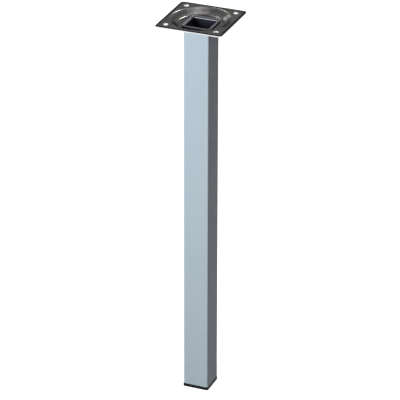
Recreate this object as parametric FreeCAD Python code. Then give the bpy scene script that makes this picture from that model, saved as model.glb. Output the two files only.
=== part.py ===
import FreeCAD, Part

import math
import os

from FreeCAD import Vector

# Square steel table leg: a square tube, a dished screw plate at its top and a moulded cap at its foot.
# Millimetres, +Z up. The leg stands on its cap, with the origin at the middle of the footprint.
# The plate is held between the tube's flared lip, above it, and four lugs pressed out of the tube below it.

# Whole leg
leg_height = 450.0            # floor to the top face of the plate

# Square tube
tube_width = 30.0             # across the outside flats
tube_wall = 1.5
tube_corner_radius = 2.0      # outside corners
lip_overhang = 2.4            # how far the flared lip stands out past the tube's flats
lip_corner_radius = 5.5
lip_bend_radius = 0.8         # inside the bend, where the lip turns out over the plate
lip_edge_break = 0.3
lug_width = 10.0
lug_height = 3.0
lug_depth = 1.0               # how far a lug stands out from the tube's face

# Screw plate
plate_thickness = 1.5
plate_corner_radius = 4.0
plate_border = 4.75           # border between the dish and the edge, at the middle of a side
plate_edge_break = 0.3
dish_depth = 5.8              # top face of the plate to the dish's floor
dish_wall_run = 8.6           # how far the dish's sloping wall runs, seen from above
floor_bend_radius = 6.0       # inside the wide bend from the dish's floor to its wall
rim_bend_radius = 1.5         # inside the tight bend from the wall to the flat border
lip_clearance = 1.0           # between the lip's corners and the bend round the dish's floor
screw_hole_diameter = 6.0
screw_hole_inset = 9.5        # hole centre to the plate's edge

# Foot cap
cap_height = 4.0              # the part that shows under the tube
cap_overhang = 0.4
cap_edge_radius = 0.8
cap_top_edge_break = 0.2
plug_length = 20.0
plug_wall = 1.8
plug_corner_radius = 2.5
plug_fit = 0.05               # gap between the ribs and the tube's inside
rib_count = 3
rib_depth = 1.2
rib_thickness = 1.6
rib_corner_cut = 2.0          # cut across each rib's corners, clear of the tube's inside corners
rib_lead = 0.9                # bevel that leads each rib into the tube

# Sizes that follow
tube_inside = tube_width - 2 * tube_wall
tube_inside_radius = tube_corner_radius - tube_wall
lip_width = tube_width + 2 * lip_overhang
lip_reach = (lip_width / 2 - lip_corner_radius) * math.sqrt(2) + lip_corner_radius
plate_underside = leg_height - plate_thickness
dish_floor = leg_height - dish_depth
dish_slope = math.atan2(dish_depth, dish_wall_run)
dish_bend_run = math.tan(dish_slope / 2)
dish_floor_radius = lip_reach + lip_clearance + floor_bend_radius * dish_bend_run
dish_top_radius = dish_floor_radius + dish_wall_run
plate_width = 2 * (dish_top_radius + plate_border)
screw_hole_pitch = plate_width - 2 * screw_hole_inset
plate_hole_width = tube_width + 2 * lip_bend_radius
lug_top = dish_floor - plate_thickness
lip_top = dish_floor + tube_wall

TOLERANCE = 1e-4


def square_bar(width, bottom, top):
    """An upright square bar on the leg's axis, and its upright edges."""
    bar = Part.makeBox(width, width, top - bottom, Vector(-width / 2, -width / 2, bottom))
    upright = [edge for edge in bar.Edges if abs(edge.tangentAt(edge.FirstParameter).z) > 0.5]
    return bar, upright


def rounded_bar(width, corner_radius, bottom, top):
    """An upright square bar on the leg's axis, with rounded upright edges."""
    bar, upright = square_bar(width, bottom, top)
    return bar.makeFillet(corner_radius, upright)


def rim_edges(shape, height, width):
    """The edges that lie flat at a height and run round a square of that width."""
    found = []
    for edge in shape.Edges:
        box = edge.BoundBox
        flat = abs(box.ZMin - height) < TOLERANCE and abs(box.ZMax - height) < TOLERANCE
        reach = max(-box.XMin, box.XMax, -box.YMin, box.YMax)
        if flat and abs(reach - width / 2) < TOLERANCE:
            found.append(edge)
    return found


def four_sides(shape):
    """A shape and its copies, a quarter turn apart round the leg's axis."""
    copies = []
    for quarter in range(4):
        copy = shape.copy()
        copy.rotate(Vector(0, 0, 0), Vector(0, 0, 1), 90 * quarter)
        copies.append(copy)
    return copies


def wedge(face):
    """A lug's wedge on the +X side of a face: flat on top, deepest there, and running out to the face below."""
    corners = [
        Vector(face, -lug_width / 2, lug_top),
        Vector(face + lug_depth, -lug_width / 2, lug_top),
        Vector(face, -lug_width / 2, lug_top - lug_height),
    ]
    outline = Part.Face(Part.makePolygon(corners + corners[:1]))
    return outline.extrude(Vector(0, lug_width, 0))


def leg_tube():
    """The square tube, with its top end flared out into a lip and four lugs pressed out under the plate."""
    outside = rounded_bar(tube_width, tube_corner_radius, cap_height, lip_top)
    lip = rounded_bar(lip_width, lip_corner_radius, dish_floor, lip_top)
    tube = outside.fuse(lip).removeSplitter()
    tube = tube.makeFillet(lip_bend_radius, rim_edges(tube, dish_floor, tube_width))
    tube = tube.cut(rounded_bar(tube_inside, tube_inside_radius, cap_height, lip_top))
    tube = tube.makeFillet(lip_bend_radius + tube_wall, rim_edges(tube, lip_top, tube_inside))
    tube = tube.makeChamfer(lip_edge_break, rim_edges(tube, lip_top, lip_width))
    tube = tube.fuse(four_sides(wedge(tube_width / 2)))
    tube = tube.cut(four_sides(wedge(tube_inside / 2)))
    return tube.removeSplitter()


def bent_line(points, radii):
    """Edges along a line of points, with an arc of its own radius at each point between the ends."""
    edges = []
    start = points[0]
    for before, corner, after, radius in zip(points, points[1:], points[2:], radii):
        incoming = (corner - before).normalize()
        outgoing = (after - corner).normalize()
        turn = incoming.getAngle(outgoing)
        setback = radius * math.tan(turn / 2)
        sagitta = radius / math.cos(turn / 2) - radius
        arc_start = corner - incoming * setback
        arc_middle = corner + (outgoing - incoming).normalize() * sagitta
        arc_end = corner + outgoing * setback
        edges.append(Part.makeLine(start, arc_start))
        edges.append(Part.Arc(arc_start, arc_middle, arc_end).toShape())
        start = arc_end
    edges.append(Part.makeLine(start, points[-1]))
    return edges


def dish(radius):
    """The round dish and the flat sheet round it, out to a radius, as one turned sheet."""
    upper = [
        Vector(0, 0, dish_floor),
        Vector(dish_floor_radius, 0, dish_floor),
        Vector(dish_top_radius, 0, leg_height),
        Vector(radius, 0, leg_height),
    ]
    drop = Vector(plate_thickness * dish_bend_run, 0, -plate_thickness)
    lower = [
        Vector(0, 0, dish_floor - plate_thickness),
        upper[1] + drop,
        upper[2] + drop,
        Vector(radius, 0, plate_underside),
    ]
    edges = bent_line(upper, [floor_bend_radius, rim_bend_radius + plate_thickness])
    edges += bent_line(lower, [floor_bend_radius + plate_thickness, rim_bend_radius])
    edges.append(Part.makeLine(upper[0], lower[0]))
    edges.append(Part.makeLine(upper[-1], lower[-1]))
    section = Part.Face(Part.Wire(Part.__sortEdges__(edges)))
    return section.revolve(Vector(0, 0, 0), Vector(0, 0, 1), 360)


def mounting_plate():
    """The stamped plate: a square sheet with a round dish, a square hole for the tube and four screw holes."""
    seam_radius = dish_top_radius + plate_border / 2
    sheet = rounded_bar(plate_width, plate_corner_radius, plate_underside, leg_height)
    sheet = sheet.cut(Part.makeCylinder(seam_radius, plate_thickness, Vector(0, 0, plate_underside)))
    plate = sheet.fuse(dish(seam_radius)).removeSplitter()
    plate = plate.makeChamfer(plate_edge_break, rim_edges(plate, leg_height, plate_width))
    plate = plate.cut(rounded_bar(plate_hole_width, tube_corner_radius + lip_bend_radius, lug_top, dish_floor))
    corner = Vector(screw_hole_pitch / 2, screw_hole_pitch / 2, plate_underside)
    screw_hole = Part.makeCylinder(screw_hole_diameter / 2, plate_thickness, corner)
    return plate.cut(four_sides(screw_hole))


def foot_cap():
    """The moulded cap: a flat head under the tube's end and a hollow ribbed plug inside it."""
    head_width = tube_width + 2 * cap_overhang
    head = rounded_bar(head_width, tube_corner_radius + cap_overhang, 0, cap_height)
    head = head.makeFillet(cap_edge_radius, rim_edges(head, 0, head_width))
    head = head.makeChamfer(cap_top_edge_break, rim_edges(head, cap_height, head_width))

    rib_width = tube_inside - 2 * plug_fit
    core_width = rib_width - 2 * rib_depth
    plug_top = cap_height + plug_length
    cap = head.fuse(rounded_bar(core_width, plug_corner_radius, cap_height, plug_top))
    rib_pitch = plug_length / rib_count
    for number in range(rib_count):
        bottom = cap_height + (number + 0.5) * rib_pitch - rib_thickness / 2
        rib, upright = square_bar(rib_width, bottom, bottom + rib_thickness)
        rib = rib.makeChamfer(rib_corner_cut, upright)
        rib = rib.makeChamfer(rib_lead, rim_edges(rib, bottom + rib_thickness, rib_width))
        cap = cap.fuse(rib)
    hollow_width = core_width - 2 * plug_wall
    hollow_radius = plug_corner_radius - plug_wall
    return cap.cut(rounded_bar(hollow_width, hollow_radius, cap_height, plug_top)).removeSplitter()


PARTS = {
    "leg_tube": leg_tube,
    "mounting_plate": mounting_plate,
    "foot_cap": foot_cap,
}

os.makedirs("parts", exist_ok=True)
for node, make in PARTS.items():
    make().exportStep(f"parts/{node}.step")
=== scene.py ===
import math

import bpy
from mathutils import Matrix, Vector


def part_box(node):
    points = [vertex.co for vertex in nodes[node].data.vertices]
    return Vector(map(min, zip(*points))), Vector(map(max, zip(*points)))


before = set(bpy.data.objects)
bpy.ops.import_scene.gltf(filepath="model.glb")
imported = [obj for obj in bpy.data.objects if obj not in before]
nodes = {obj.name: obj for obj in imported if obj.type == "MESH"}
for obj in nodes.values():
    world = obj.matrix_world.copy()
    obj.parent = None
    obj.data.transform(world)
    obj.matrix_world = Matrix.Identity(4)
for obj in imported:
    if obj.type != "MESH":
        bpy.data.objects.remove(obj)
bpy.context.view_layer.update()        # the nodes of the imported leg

# The look of a square steel table leg: silver satin paint, a bright pressed plate and a black moulded cap.
# Metres, in the leg's own frame: +Z up, with the origin under the middle of the foot.

MM = 0.001

_, tube_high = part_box("leg_tube")
_, plate_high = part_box("mounting_plate")
cap_low, cap_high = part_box("foot_cap")

# Sizes of the parts that the frame doesn't give
CAP_OVERHANG = 0.4 * MM
LIP_THICKNESS = 1.5 * MM
MOUTH_BEND = 2.3 * MM          # radius of the rounded mouth inside the lip
PLATE_BORDER = 4.75 * MM       # between the dish and the plate's edge, at the middle of a side
DISH_WALL_RUN = 8.6 * MM       # how far the dish's wall runs, seen from above

# Places on the leg
TUBE_HALF = cap_high[0] - CAP_OVERHANG
UPPER_TUBE = (0.0, 0.0, 0.38)
LIP_TOP = tube_high[2]
LIP_UNDERSIDE = LIP_TOP - LIP_THICKNESS
MOUTH_BOTTOM = LIP_TOP - MOUTH_BEND
PLATE_HALF = plate_high[0]
PLATE_CENTRE = (0.0, 0.0, plate_high[2])
DISH_TOP_RADIUS = PLATE_HALF - PLATE_BORDER
DISH_FLOOR_RADIUS = DISH_TOP_RADIUS - DISH_WALL_RUN

# Paint on the tube
PAINT_DARK = (0.425, 0.538, 0.608)
PAINT_LIGHT = (0.500, 0.610, 0.682)
PAINT_FLAKE = (0.80, 0.88, 0.93)
# Painted highlight: the tube's corners are lightened towards this colour
PAINT_CORNER_HIGHLIGHT = (0.68, 0.82, 0.88)
CORNER_START = TUBE_HALF - 2.2 * MM     # from the axis, where the painted highlight on the corners begins
CORNER_FULL = TUBE_HALF - 1.0 * MM
# Paint on the lip, darkened as painted shade, and darker still on its outer edge as painted shade
LIP_SHADED_DARK = (0.118, 0.114, 0.130)
LIP_SHADED_LIGHT = (0.185, 0.180, 0.200)
LIP_EDGE_SHADE = (0.070, 0.068, 0.076)
PEEL_DEPTH = 0.012 * MM

# Bare steel inside the tube, darkened down in the tube as painted shade of the hollow
INSIDE_SHADED_DARK = (0.020, 0.020, 0.032)
INSIDE_SHADED_LIGHT = (0.042, 0.043, 0.060)
MOUTH_STEEL = (0.060, 0.062, 0.072)

# Steel of the plate
STEEL_GREENISH = (0.075, 0.078, 0.068)
STEEL_PURPLISH = (0.085, 0.074, 0.086)
STEEL_PALE = (0.112, 0.114, 0.108)
# Painted highlight on the dish
STEEL_PAINTED_HIGHLIGHT = (0.150, 0.150, 0.140)
# Painted shade on the dish
STEEL_PAINTED_SHADE = (0.042, 0.042, 0.042)
# Painted shade along the top of the plate's edge, dark and not metallic
STEEL_RIM_SHADE = (0.008, 0.008, 0.009)
STEEL_CUT_EDGE = (0.53, 0.54, 0.55)
STEEL_GRAZING_TINT = (0.5, 0.5, 0.5)
RIM_START = PLATE_HALF - 3.0 * MM       # from the axis, where the painted shade along the border begins
RIM_FULL = PLATE_HALF - 1.7 * MM
WAVE_DEPTH = 0.09 * MM

# Painted highlight and painted shade, as rings round the axis: the radius of each, and its reach to either
# side
# Rings of painted highlight
HIGHLIGHT_RINGS = (
    (DISH_TOP_RADIUS, 1.2 * MM),
    (DISH_FLOOR_RADIUS + 2.6 * MM, 2.4 * MM),
)
# Rings of painted shade
SHADE_RINGS = (
    (DISH_TOP_RADIUS - 4.2 * MM, 4.0 * MM),
    (DISH_FLOOR_RADIUS - 0.6 * MM, 1.2 * MM),
)

# Plastic of the cap
PLASTIC_BLACK = (0.0040, 0.0040, 0.0050)
PLASTIC_SCUFFED = (0.0095, 0.0095, 0.0110)
PLASTIC_GRAIN_DEPTH = 0.02 * MM

# Floor and surroundings
FLOOR_HALF = 6.0
FLOOR_DROP = 0.02 * MM         # the cap stands clear of the floor by this much
FLOOR_WHITE = (0.8, 0.8, 0.8)
FLOOR_BOUNCE = (0.27, 0.235, 0.24)      # for the light that the floor throws back onto the leg
FLOOR_GLOW = 0.85              # near the leg, where its shadow falls
GLOW_START = 0.25              # from here outwards the floor's glow grows to 1
GLOW_END = 0.75
AMBIENT_COLOUR = (1.0, 0.78, 0.80)
AMBIENT_STRENGTH = 0.12
WHITE = (1.0, 1.0, 1.0)

# Soft boxes: place, aim, width, height, and power in watts
LAMPS = {
    "key": ((-0.45, -1.0, 0.70), UPPER_TUBE, 0.42, 0.42, 13.0),
    "behind_left": ((0.02, 0.89, 1.25), PLATE_CENTRE, 0.15, 0.28, 4.4),
    "behind_right": ((-0.52, 0.74, 1.23), PLATE_CENTRE, 0.20, 0.12, 1.4),
    "side_behind": ((-0.88, 0.62, 0.97), PLATE_CENTRE, 0.24, 0.28, 0.7),
    "overhead": ((0.06, 0.13, 1.62), PLATE_CENTRE, 0.62, 0.28, 0.95),
    "overhead_wide": ((0.06, 0.14, 1.63), PLATE_CENTRE, 0.62, 0.85, 1.9),
}

# Camera
CAMERA_AZIMUTH = math.radians(22.23)
CAMERA_ELEVATION = math.radians(26.15)
CAMERA_ROLL = math.radians(0.1)
CAMERA_DISTANCE = 3.0
CAMERA_AIM_HEIGHT = 232.84 * MM
CAMERA_AIM_SIDE = -0.77 * MM
CAMERA_SIGHT = 50.0            # nothing further off is drawn
LENS_MM = 243.3                # Blender takes the lens and the sensor in millimetres
SENSOR_MM = 36.0


def set_input(tree, socket, value):
    """Links an input to another node's output, or sets it to a number, vector or colour."""
    if isinstance(value, bpy.types.NodeSocket):
        tree.links.new(value, socket)
    elif socket.type == "RGBA":
        socket.default_value = (*value, 1.0)
    else:
        socket.default_value = value


def add_node(tree, kind, settings=(), **inputs):
    """A shader node with its settings and inputs. An input is named, or numbered as i0, i1 and so on."""
    node = tree.nodes.new("ShaderNode" + kind)
    for name, value in dict(settings).items():
        setattr(node, name, value)
    for name, value in inputs.items():
        key = int(name[1:]) if name[1:].isdigit() else name.replace("_", " ")
        set_input(tree, node.inputs[key], value)
    return node


def math_node(tree, operation, *values):
    """The result of one operation on numbers."""
    numbered = {f"i{number}": value for number, value in enumerate(values)}
    return add_node(tree, "Math", {"operation": operation}, **numbered).outputs[0]


def vector_node(tree, operation, *values, output="Vector"):
    """The result of one operation on vectors. The output is "Value" where that result is a number."""
    numbered = {f"i{number}": value for number, value in enumerate(values)}
    return add_node(tree, "VectorMath", {"operation": operation}, **numbered).outputs[output]


def noise(tree, place, scale, detail=3.0, roughness=0.55, distortion=0.0):
    """A noise value between 0 and 1. The scale is in cells a metre."""
    made = add_node(tree, "TexNoise", Vector=place, Scale=scale, Detail=detail, Roughness=roughness,
                    Distortion=distortion)
    return made.outputs["Fac"]


def ramp(tree, value, start, end, low=0.0, high=1.0):
    """A value taken smoothly from low, at start, to high, at end."""
    made = add_node(tree, "MapRange", {"interpolation_type": "SMOOTHSTEP"}, Value=value,
                    From_Min=start, From_Max=end, To_Min=low, To_Max=high)
    return made.outputs[0]


def mix_colour(tree, amount, first, second):
    """Two colours mixed by an amount between 0 and 1."""
    return add_node(tree, "Mix", {"data_type": "RGBA"}, i0=amount, i6=first, i7=second).outputs[2]


def mix_value(tree, amount, first, second):
    """Two numbers mixed by an amount between 0 and 1."""
    return add_node(tree, "Mix", i0=amount, i2=first, i3=second).outputs[0]


def bump(tree, height, depth):
    """A normal shaken by a height between 0 and 1, which stands for that depth in metres."""
    return add_node(tree, "Bump", Height=height, Distance=depth).outputs[0]


def height_of(tree, place):
    """The height of each point."""
    return add_node(tree, "SeparateXYZ", Vector=place).outputs["Z"]


def side_distances(tree, place):
    """How far each point lies from the leg's axis along X, and along Y."""
    parts = add_node(tree, "SeparateXYZ", Vector=place)
    return [math_node(tree, "ABSOLUTE", parts.outputs[axis]) for axis in "XY"]


def from_axis(tree, place):
    """The level vector from the leg's axis to each point."""
    return vector_node(tree, "MULTIPLY", place, (1.0, 1.0, 0.0))


def axis_distance(tree, place):
    """How far each point lies from the leg's axis."""
    return vector_node(tree, "LENGTH", from_axis(tree, place), output="Value")


def faces_up(tree):
    """How much each point faces up: 1 on top, 0 on a side and -1 underneath."""
    normal = add_node(tree, "NewGeometry").outputs["True Normal"]
    return add_node(tree, "SeparateXYZ", Vector=normal).outputs["Z"]


def faces_out(tree, place):
    """How much each point faces away from the leg's axis: 1 outwards, -1 inwards, and 0 up or down."""
    normal = add_node(tree, "NewGeometry").outputs["True Normal"]
    outward = vector_node(tree, "NORMALIZE", from_axis(tree, place))
    return vector_node(tree, "DOT_PRODUCT", normal, outward, output="Value")


def ring(tree, radius, middle, reach):
    """1 on a circle round the leg's axis, falling to 0 at a reach to either side of it."""
    off = math_node(tree, "ABSOLUTE", math_node(tree, "SUBTRACT", radius, middle))
    return ramp(tree, off, 0.0, reach, low=1.0, high=0.0)


def two_rings(tree, radius, rings):
    """The stronger of two rings at each point."""
    first, second = [ring(tree, radius, middle, reach) for middle, reach in rings]
    return math_node(tree, "MAXIMUM", first, second)


def new_material(name):
    """A material, its tree, and the place of each point on the leg."""
    material = bpy.data.materials.new(name)
    material.use_nodes = True
    tree = material.node_tree
    return material, tree, add_node(tree, "TexCoord").outputs["Object"]


def set_shader(tree, **inputs):
    """Links or sets the inputs of a material's own shader."""
    shader = tree.nodes["Principled BSDF"]
    for name, value in inputs.items():
        set_input(tree, shader.inputs[name.replace("_", " ")], value)


def tube_paint(tree, place):
    """Silver paint with faint clouds and streaks, metal flakes, and a painted highlight on the corners."""
    clouds = noise(tree, place, scale=9.0, detail=2.0)
    drawn_out = vector_node(tree, "MULTIPLY", place, (1.0, 1.0, 0.02))
    streaks = noise(tree, drawn_out, scale=170.0, detail=2.0)
    paint = mix_colour(tree, mix_value(tree, 0.45, clouds, streaks), PAINT_DARK, PAINT_LIGHT)

    cells = add_node(tree, "TexVoronoi", Vector=place, Scale=2600.0).outputs["Color"]
    glitter = add_node(tree, "SeparateColor", Color=cells).outputs["Red"]
    paint = mix_colour(tree, ramp(tree, glitter, 0.55, 1.0, high=0.16), paint, PAINT_FLAKE)

    near_corner = math_node(tree, "MINIMUM", *side_distances(tree, place))
    # Painted highlight along the tube's corners
    corner_highlight = ramp(tree, near_corner, CORNER_START, CORNER_FULL, high=0.55)
    return mix_colour(tree, corner_highlight, paint, PAINT_CORNER_HIGHLIGHT)


def lip_paint(tree, place, outward):
    """The paint on the lip, darkened as painted shade, and darker still on its outer edge as painted shade.
    """
    wear = noise(tree, place, scale=160.0)
    # Painted shade: the lip's paint is darkened
    shaded_lip = mix_colour(tree, ramp(tree, wear, 0.35, 0.65), LIP_SHADED_DARK, LIP_SHADED_LIGHT)
    # Painted shade on the lip's outer edge
    return mix_colour(tree, ramp(tree, outward, 0.3, 0.7), shaded_lip, LIP_EDGE_SHADE)


def inside_steel(tree, place, mouth):
    """Bare steel, flecked with scale and darkened down in the tube as painted shade; lighter where the mouth
    is rolled out.
    """
    scale = noise(tree, place, scale=240.0, detail=4.0)
    # Painted shade: dark steel colours down in the hollow of the tube
    scaly_and_shaded = mix_colour(tree, scale, INSIDE_SHADED_DARK, INSIDE_SHADED_LIGHT)
    return mix_colour(tree, mouth, scaly_and_shaded, MOUTH_STEEL)


def silver_paint():
    """Satin silver paint, with painted shade on the lip. Inside, from the mouth down, the steel is bare,
    with painted shade.
    """
    material, tree, place = new_material("silver_satin_paint")
    height = height_of(tree, place)
    outward = faces_out(tree, place)
    on_lip = ramp(tree, height, LIP_UNDERSIDE - 0.3 * MM, LIP_UNDERSIDE + 0.1 * MM)
    mouth = ramp(tree, height, MOUTH_BOTTOM - 0.3 * MM, MOUTH_BOTTOM + 0.3 * MM)
    inside = ramp(tree, outward, -0.42, -0.15, low=1.0, high=0.0)
    # On the lip, the paint is darkened as painted shade
    paint = mix_colour(tree, on_lip, tube_paint(tree, place), lip_paint(tree, place, outward))

    grain = noise(tree, place, scale=1500.0, detail=2.0)
    peel = noise(tree, place, scale=420.0, detail=1.0)
    satin = ramp(tree, grain, 0.3, 0.7, low=0.38, high=0.46)
    bare = mix_value(tree, mouth, 0.85, 0.3)
    set_shader(
        tree,
        Base_Color=mix_colour(tree, inside, paint, inside_steel(tree, place, mouth)),
        Metallic=math_node(tree, "MULTIPLY", inside, mouth),
        Roughness=mix_value(tree, inside, satin, bare),
        Specular_IOR_Level=0.05,
        Normal=bump(tree, mix_value(tree, 0.35, peel, grain), PEEL_DEPTH),
    )
    return material


def mottled_steel(tree, place, mottle):
    """Steel whose faint tint changes from place to place, with paler patches."""
    tint = noise(tree, place, scale=45.0, detail=1.0)
    dark = mix_colour(tree, ramp(tree, tint, 0.38, 0.62), STEEL_GREENISH, STEEL_PURPLISH)
    return mix_colour(tree, ramp(tree, mottle, 0.32, 0.72), dark, STEEL_PALE)


def dish_highlight_and_shade_rings(tree, place, steel, mottle):
    """Pale rings of painted highlight at the dish's two bends, and darker rings of painted shade beside
    them.
    """
    radius = axis_distance(tree, place)
    patchy = ramp(tree, mottle, 0.3, 0.6, low=0.15, high=0.6)
    # Painted highlight, broken into patches
    ring_highlight = math_node(tree, "MULTIPLY", two_rings(tree, radius, HIGHLIGHT_RINGS), patchy)
    # Painted shade
    ring_shade = math_node(tree, "MULTIPLY", two_rings(tree, radius, SHADE_RINGS), 0.55)
    return mix_colour(tree, ring_shade, mix_colour(tree, ring_highlight, steel, STEEL_PAINTED_HIGHLIGHT), STEEL_PAINTED_SHADE)


def painted_edge_shade(tree, place, up):
    """How much painted shade each point takes, dark and not metallic: 0.9 on top of the plate along its
    edge, and 0 elsewhere.
    """
    near_edge = math_node(tree, "MAXIMUM", *side_distances(tree, place))
    rim = ramp(tree, near_edge, RIM_START, RIM_FULL)
    on_top = ramp(tree, up, 0.3, 0.6)
    return math_node(tree, "MULTIPLY", math_node(tree, "MULTIPLY", rim, on_top), 0.9)


def pressed_steel():
    """Bright pressed steel, mottled, with rings of painted highlight and shade on the dish, painted shade
    along the rim, and bright cut edges.
    """
    material, tree, place = new_material("pressed_plate_steel")
    mottle = noise(tree, place, scale=90.0, detail=4.0, roughness=0.6, distortion=0.8)
    up = faces_up(tree)
    # Painted shade along the plate's edge, as an amount between 0 and 0.9
    rim_shade = painted_edge_shade(tree, place, up)
    cut_edge = ramp(tree, math_node(tree, "ABSOLUTE", up), 0.25, 0.5, low=1.0, high=0.0)
    steel = dish_highlight_and_shade_rings(tree, place, mottled_steel(tree, place, mottle), mottle)
    # Painted shade along the plate's edge
    steel = mix_colour(tree, rim_shade, steel, STEEL_RIM_SHADE)

    waves = noise(tree, place, scale=130.0, detail=2.0, distortion=0.8)
    fine = noise(tree, place, scale=700.0)
    set_shader(
        tree,
        Base_Color=mix_colour(tree, cut_edge, steel, STEEL_CUT_EDGE),
        Metallic=math_node(tree, "SUBTRACT", 1.0, rim_shade),
        Roughness=ramp(tree, mottle, 0.3, 0.75, low=0.20, high=0.12),
        Specular_IOR_Level=0.0,
        Specular_Tint=STEEL_GRAZING_TINT,
        Normal=bump(tree, mix_value(tree, 0.02, waves, fine), WAVE_DEPTH),
    )
    return material


def black_plastic():
    """Black moulded plastic with a fine eroded texture."""
    material, tree, place = new_material("black_moulded_plastic")
    grain = noise(tree, place, scale=1900.0)
    scuff = noise(tree, place, scale=90.0, detail=4.0, roughness=0.7)
    set_shader(
        tree,
        Base_Color=mix_colour(tree, ramp(tree, scuff, 0.45, 0.8), PLASTIC_BLACK, PLASTIC_SCUFFED),
        Roughness=ramp(tree, scuff, 0.3, 0.8, low=0.42, high=0.58),
        Specular_IOR_Level=0.1,
        Normal=bump(tree, grain, PLASTIC_GRAIN_DEPTH),
    )
    return material


def dress(name, material):
    """Gives a node of the frame its material."""
    materials = nodes[name].data.materials
    materials.clear()
    materials.append(material)


def empty_tree(holder):
    """The node tree of a new material or world, with nothing in it."""
    holder.use_nodes = True
    holder.node_tree.nodes.clear()
    return holder.node_tree


def seen_by(tree, *rays):
    """1 for the kinds of ray named, which see a thing itself, and 0 for those that gather its light."""
    path = add_node(tree, "LightPath")
    seen = path.outputs[rays[0]]
    for ray in rays[1:]:
        seen = math_node(tree, "MAXIMUM", seen, path.outputs[ray])
    return seen


def floor_white():
    """White that glows enough to match the surroundings, and less near the leg, so that its shadow shows."""
    material = bpy.data.materials.new("floor_white")
    tree = empty_tree(material)
    seen = seen_by(tree, "Is Camera Ray", "Is Glossy Ray")
    lit = add_node(tree, "BsdfDiffuse", Color=mix_colour(tree, seen, FLOOR_BOUNCE, FLOOR_WHITE))
    radius = axis_distance(tree, add_node(tree, "TexCoord").outputs["Object"])
    level = ramp(tree, radius, GLOW_START, GLOW_END, low=FLOOR_GLOW)
    glow = add_node(tree, "Emission", Strength=math_node(tree, "MULTIPLY", seen, level))
    both = add_node(tree, "AddShader", i0=lit.outputs[0], i1=glow.outputs[0])
    add_node(tree, "OutputMaterial", Surface=both.outputs[0])
    return material


def pale_floor():
    """A square floor round the leg's foot."""
    mesh = bpy.data.meshes.new("floor")
    corners = [(-1, -1), (1, -1), (1, 1), (-1, 1)]
    mesh.from_pydata([(x * FLOOR_HALF, y * FLOOR_HALF, 0.0) for x, y in corners], [], [(0, 1, 2, 3)])
    mesh.materials.append(floor_white())
    floor = bpy.data.objects.new("floor", mesh)
    floor.location.z = cap_low[2] - FLOOR_DROP
    bpy.context.scene.collection.objects.link(floor)


def white_world():
    """White where the camera or a reflection sees it, and a low even light otherwise."""
    world = bpy.data.worlds.new("studio")
    bpy.context.scene.world = world
    tree = empty_tree(world)
    seen = seen_by(tree, "Is Camera Ray", "Is Glossy Ray", "Is Transmission Ray")
    colour = mix_colour(tree, seen, AMBIENT_COLOUR, WHITE)
    strength = mix_value(tree, seen, AMBIENT_STRENGTH, 1.0)
    background = add_node(tree, "Background", Color=colour, Strength=strength)
    add_node(tree, "OutputWorld", Surface=background.outputs[0])


def soft_light(name, place, aim, width, height, power):
    """A soft box at a place, turned to the point that it lights."""
    light = bpy.data.lights.new(name, "AREA")
    light.shape = "RECTANGLE"
    light.size = width
    light.size_y = height
    light.energy = power
    lamp = bpy.data.objects.new(name, light)
    lamp.location = place
    lamp.rotation_euler = (Vector(aim) - Vector(place)).to_track_quat("-Z", "Y").to_euler()
    bpy.context.scene.collection.objects.link(lamp)


def photo_camera():
    """The camera at the photograph's angle."""
    sin_a, cos_a = math.sin(CAMERA_AZIMUTH), math.cos(CAMERA_AZIMUTH)
    sin_e, cos_e = math.sin(CAMERA_ELEVATION), math.cos(CAMERA_ELEVATION)
    right = Vector((cos_a, sin_a, 0.0))
    back = Vector((sin_a * cos_e, -cos_a * cos_e, sin_e))
    up = back.cross(right)
    aim = Vector((0.0, 0.0, CAMERA_AIM_HEIGHT)) + right * CAMERA_AIM_SIDE
    turn = Matrix((right, up, back)).transposed() @ Matrix.Rotation(CAMERA_ROLL, 3, "Z")

    data = bpy.data.cameras.new("camera")
    data.lens = LENS_MM
    data.sensor_width = SENSOR_MM
    data.clip_end = CAMERA_SIGHT
    camera = bpy.data.objects.new("camera", data)
    camera.matrix_world = Matrix.Translation(aim + back * CAMERA_DISTANCE) @ turn.to_4x4()
    bpy.context.scene.collection.objects.link(camera)
    bpy.context.scene.camera = camera


dress("leg_tube", silver_paint())
dress("mounting_plate", pressed_steel())
dress("foot_cap", black_plastic())

white_world()
pale_floor()
for name, lamp in LAMPS.items():
    soft_light(name, *lamp)
photo_camera()
bpy.context.scene.view_settings.view_transform = "Standard"
